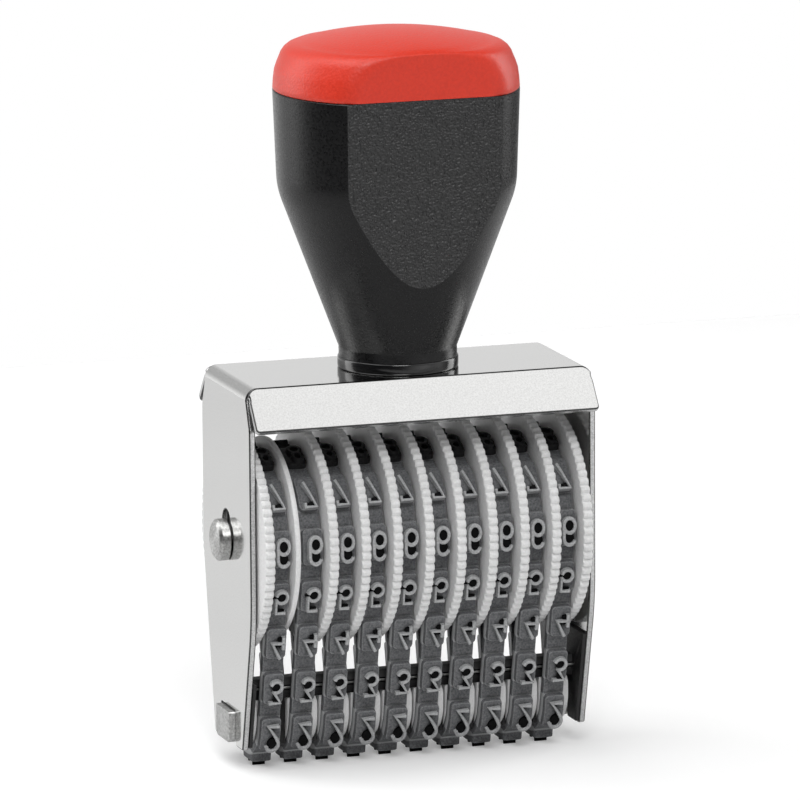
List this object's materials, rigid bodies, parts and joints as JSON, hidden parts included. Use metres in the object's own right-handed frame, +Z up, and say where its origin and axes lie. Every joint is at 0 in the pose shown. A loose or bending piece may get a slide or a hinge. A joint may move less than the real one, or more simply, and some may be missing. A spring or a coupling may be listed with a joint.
{
  "type": "numbering stamp",
  "caption": "Hand numbering stamp: bent steel yoke with endless rubber number bands, each turned by its own toothed wheel, under a black plastic handle with a red cap.",
  "frame": {"origin": "on the ground under the middle of the stamp, at the printing characters' face", "axes": "+X to the right along the axle, -Y to the front, +Z up along the handle"},
  "size_m": [0.0588, 0.0336, 0.1117],
  "materials": {
    "plated_sheet": "nickel-plated bent sheet, satin",
    "turned_steel": "nickel-plated turned steel",
    "grey_plastic": "moulded light grey plastic",
    "dark_rubber": "moulded rubber, matte",
    "black_plastic": "moulded black plastic, satin with grained facets",
    "red_plastic": "moulded red plastic, satin"
  },
  "bodies": {
    "root": {"frame": "plated_sheet", "axle": "turned_steel", "axle_rivet_head": "turned_steel", "axle_washer": "turned_steel", "spacer_disc": "grey_plastic", "foot_bar": "plated_sheet", "separator_comb": "black_plastic", "guide_wire": "turned_steel", "handle_body": "black_plastic", "handle_cap": "red_plastic", "handle_collar": "black_plastic", "handle_screw": "turned_steel", "screw_washer": "turned_steel", "band_1": "dark_rubber", "band_2": "dark_rubber", "band_3": "dark_rubber", "band_4": "dark_rubber", "band_5": "dark_rubber", "band_6": "dark_rubber", "band_7": "dark_rubber", "band_8": "dark_rubber", "band_9": "dark_rubber", "band_10": "dark_rubber", "shoe_1": "grey_plastic", "shoe_2": "grey_plastic", "shoe_3": "grey_plastic", "shoe_4": "grey_plastic", "shoe_5": "grey_plastic", "shoe_6": "grey_plastic", "shoe_7": "grey_plastic", "shoe_8": "grey_plastic", "shoe_9": "grey_plastic", "shoe_10": "grey_plastic"},
    "setting_wheel_1": {"wheel_1": "grey_plastic"},
    "setting_wheel_2": {"wheel_2": "grey_plastic"},
    "setting_wheel_3": {"wheel_3": "grey_plastic"},
    "setting_wheel_4": {"wheel_4": "grey_plastic"},
    "setting_wheel_5": {"wheel_5": "grey_plastic"},
    "setting_wheel_6": {"wheel_6": "grey_plastic"},
    "setting_wheel_7": {"wheel_7": "grey_plastic"},
    "setting_wheel_8": {"wheel_8": "grey_plastic"},
    "setting_wheel_9": {"wheel_9": "grey_plastic"},
    "setting_wheel_10": {"wheel_10": "grey_plastic"}
  },
  "joints": [
    {"name": "wheel_1_turn", "type": "hinge", "parent": "root", "child": "setting_wheel_1", "pos_m": [-0.02315, 0, 0.035], "axis": [1, 0, 0], "continuous": true},
    {"name": "wheel_2_turn", "type": "hinge", "parent": "root", "child": "setting_wheel_2", "pos_m": [-0.0181, 0, 0.035], "axis": [1, 0, 0], "continuous": true},
    {"name": "wheel_3_turn", "type": "hinge", "parent": "root", "child": "setting_wheel_3", "pos_m": [-0.01305, 0, 0.035], "axis": [1, 0, 0], "continuous": true},
    {"name": "wheel_4_turn", "type": "hinge", "parent": "root", "child": "setting_wheel_4", "pos_m": [-0.008, 0, 0.035], "axis": [1, 0, 0], "continuous": true},
    {"name": "wheel_5_turn", "type": "hinge", "parent": "root", "child": "setting_wheel_5", "pos_m": [-0.00295, 0, 0.035], "axis": [1, 0, 0], "continuous": true},
    {"name": "wheel_6_turn", "type": "hinge", "parent": "root", "child": "setting_wheel_6", "pos_m": [0.0021, 0, 0.035], "axis": [1, 0, 0], "continuous": true},
    {"name": "wheel_7_turn", "type": "hinge", "parent": "root", "child": "setting_wheel_7", "pos_m": [0.00715, 0, 0.035], "axis": [1, 0, 0], "continuous": true},
    {"name": "wheel_8_turn", "type": "hinge", "parent": "root", "child": "setting_wheel_8", "pos_m": [0.0122, 0, 0.035], "axis": [1, 0, 0], "continuous": true},
    {"name": "wheel_9_turn", "type": "hinge", "parent": "root", "child": "setting_wheel_9", "pos_m": [0.01725, 0, 0.035], "axis": [1, 0, 0], "continuous": true},
    {"name": "wheel_10_turn", "type": "hinge", "parent": "root", "child": "setting_wheel_10", "pos_m": [0.0223, 0, 0.035], "axis": [1, 0, 0], "continuous": true}
  ]
}
